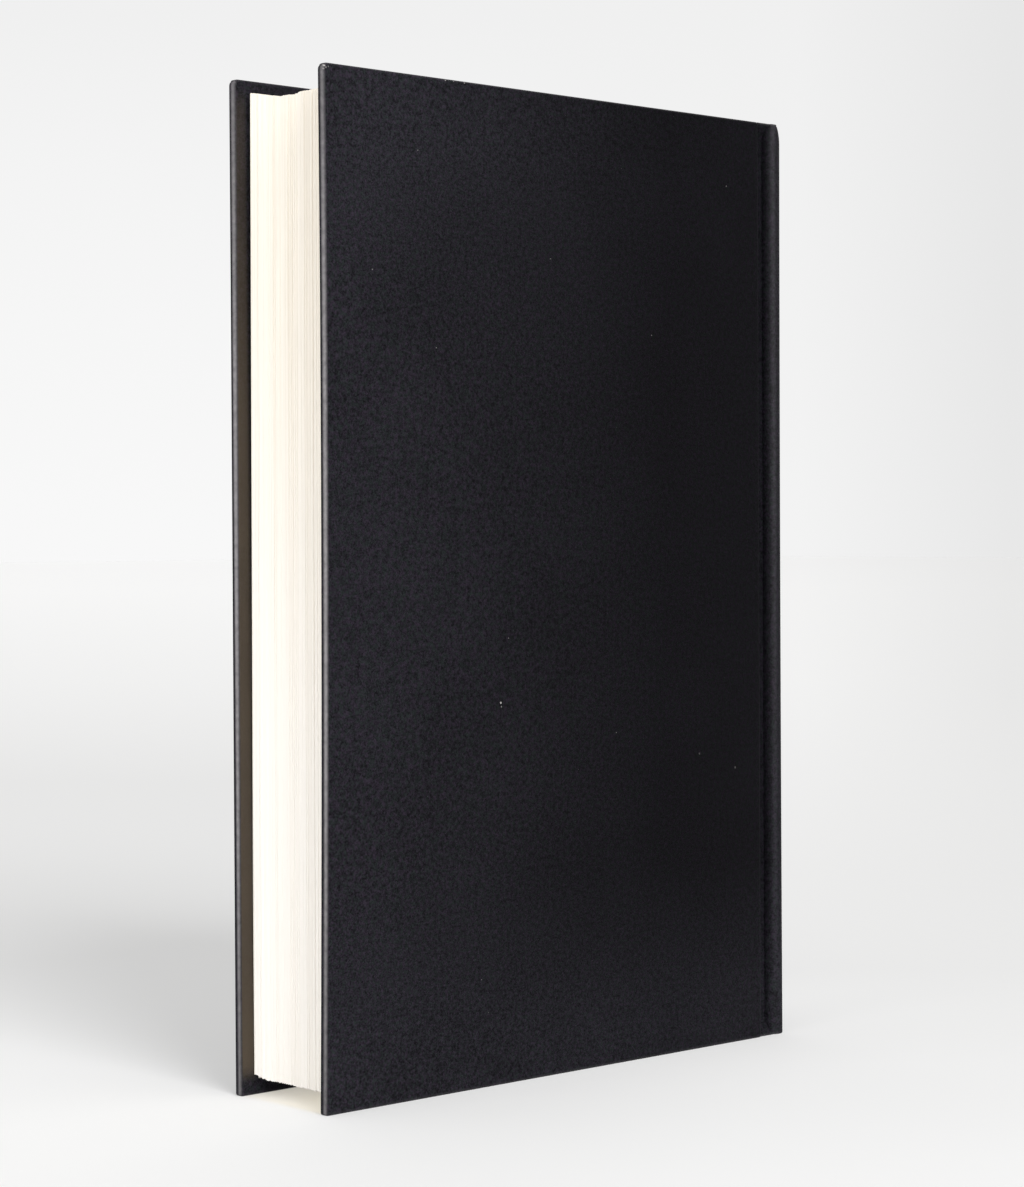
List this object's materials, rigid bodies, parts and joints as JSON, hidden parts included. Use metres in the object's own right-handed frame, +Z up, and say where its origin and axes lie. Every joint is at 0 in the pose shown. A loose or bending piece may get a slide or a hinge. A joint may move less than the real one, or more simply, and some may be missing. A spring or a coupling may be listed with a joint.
{
  "type": "hardback book",
  "caption": "Closed hardback book standing on its tail: plain black covering, rounded spine, grooved joints, cream leaves and two hinged covers.",
  "frame": {"origin": "on the floor under the middle of the closed book", "axes": "+Z up from tail to head, +X from the fore-edge to the spine, +Y out of the front cover"},
  "size_m": [0.1465, 0.0324, 0.222],
  "materials": {
    "covering": "matte",
    "leaves": "matte",
    "endpaper": "matte",
    "greyboard": "matte",
    "kraft": "matte",
    "gauze": "matte",
    "band": "satin"
  },
  "bodies": {
    "text_block": {"page_block": "leaves", "front_flyleaf": "endpaper", "back_flyleaf": "endpaper", "spine_mull": "gauze", "spine_lining": "kraft", "head_band": "band", "tail_band": "band", "spine_inlay": "greyboard", "spine_covering": "covering"},
    "front_cover": {"front_board": "greyboard", "front_covering": "covering", "front_mull_flap": "gauze", "front_pastedown": "endpaper"},
    "back_cover": {"back_board": "greyboard", "back_covering": "covering", "back_mull_flap": "gauze", "back_pastedown": "endpaper"}
  },
  "joints": [
    {"name": "front_hinge", "type": "hinge", "parent": "text_block", "child": "front_cover", "pos_m": [0.06405, 0.0164, 0], "axis": [0, 0, -1], "range_deg": [0, 180]},
    {"name": "back_hinge", "type": "hinge", "parent": "text_block", "child": "back_cover", "pos_m": [0.06405, -0.0164, 0], "axis": [0, 0, 1], "range_deg": [0, 180]}
  ]
}
